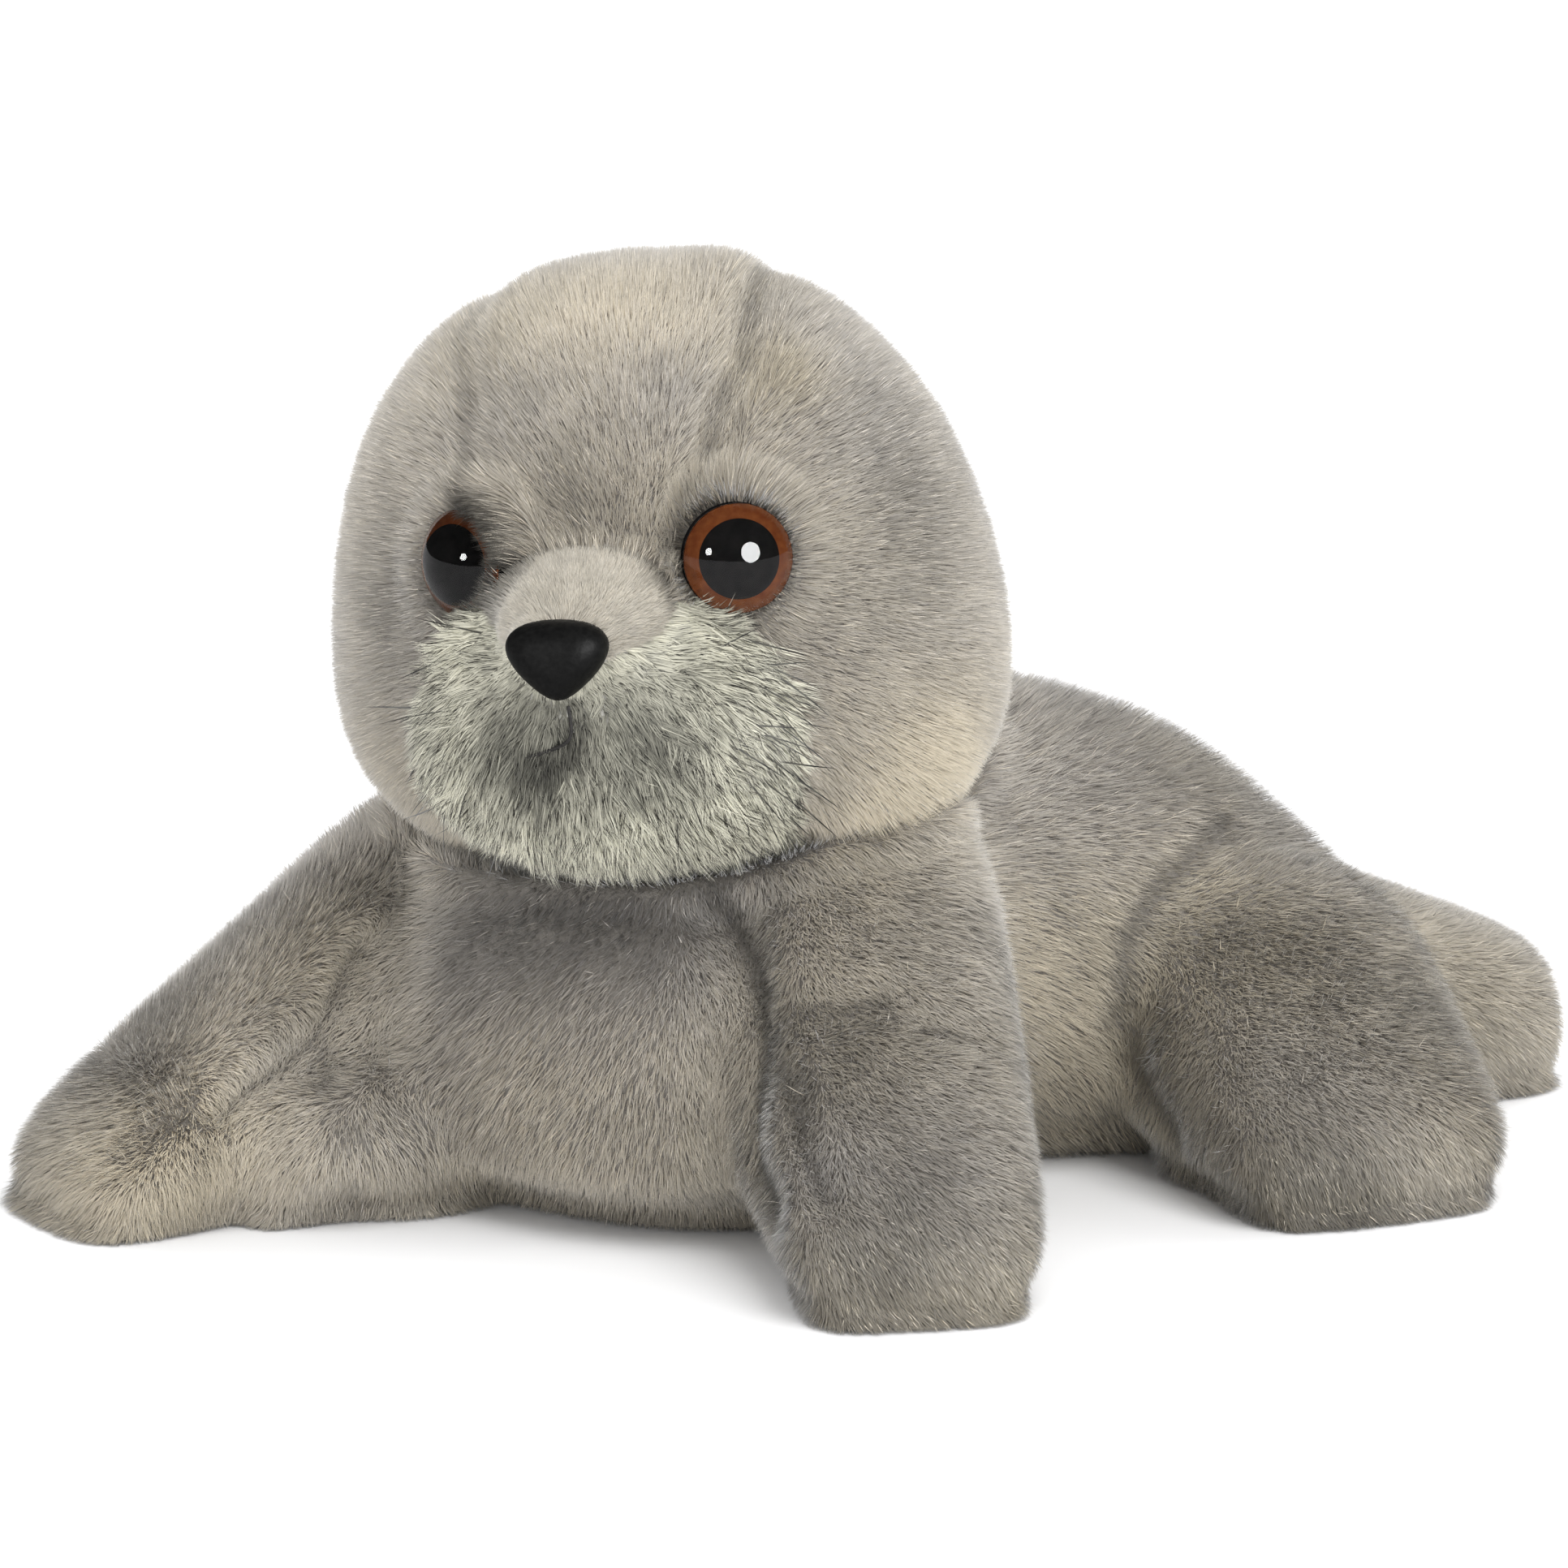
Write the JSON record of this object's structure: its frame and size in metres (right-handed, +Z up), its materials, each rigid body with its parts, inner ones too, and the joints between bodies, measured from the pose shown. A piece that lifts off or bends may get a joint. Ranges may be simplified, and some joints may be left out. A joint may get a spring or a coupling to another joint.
{
  "type": "plush seal",
  "caption": "Soft stuffed seal toy lying on its belly with head raised, body curled to one side, with pile fur, shaggy muzzle, domed eyes and a matte nose.",
  "frame": {"origin": "on the floor, on the flat of the belly, under the middle of the head", "axes": "the toy looks along -Y, its left side is +X, and +Z is up"},
  "size_m": [0.1995, 0.1822, 0.1356],
  "materials": {
    "grey_pile": "long soft pile",
    "tipped_pile": "longer pile with dark tips",
    "smooth_pile": "short pile",
    "nose_plastic": "matte",
    "black_plastic": "gloss",
    "brown_plastic": "gloss",
    "clear_plastic": "polished clear dome",
    "white_plastic": "moulded",
    "dark_thread": "thread"
  },
  "bodies": {
    "root": {"eye_backing_left": "black_plastic", "eye_backing_right": "black_plastic", "eye_lens_left": "clear_plastic", "eye_lens_right": "clear_plastic", "eye_ring_left": "brown_plastic", "eye_ring_right": "brown_plastic", "eye_washer_left": "white_plastic", "eye_washer_right": "white_plastic", "front_flipper_left": "grey_pile", "front_flipper_right": "grey_pile", "head": "grey_pile", "hind_flipper_left": "grey_pile", "hind_flipper_right": "grey_pile", "mouth_stitch": "dark_thread", "muzzle": "tipped_pile", "nose": "nose_plastic", "nose_bridge": "smooth_pile", "nose_washer": "white_plastic", "torso": "grey_pile"}
  },
  "joints": []
}
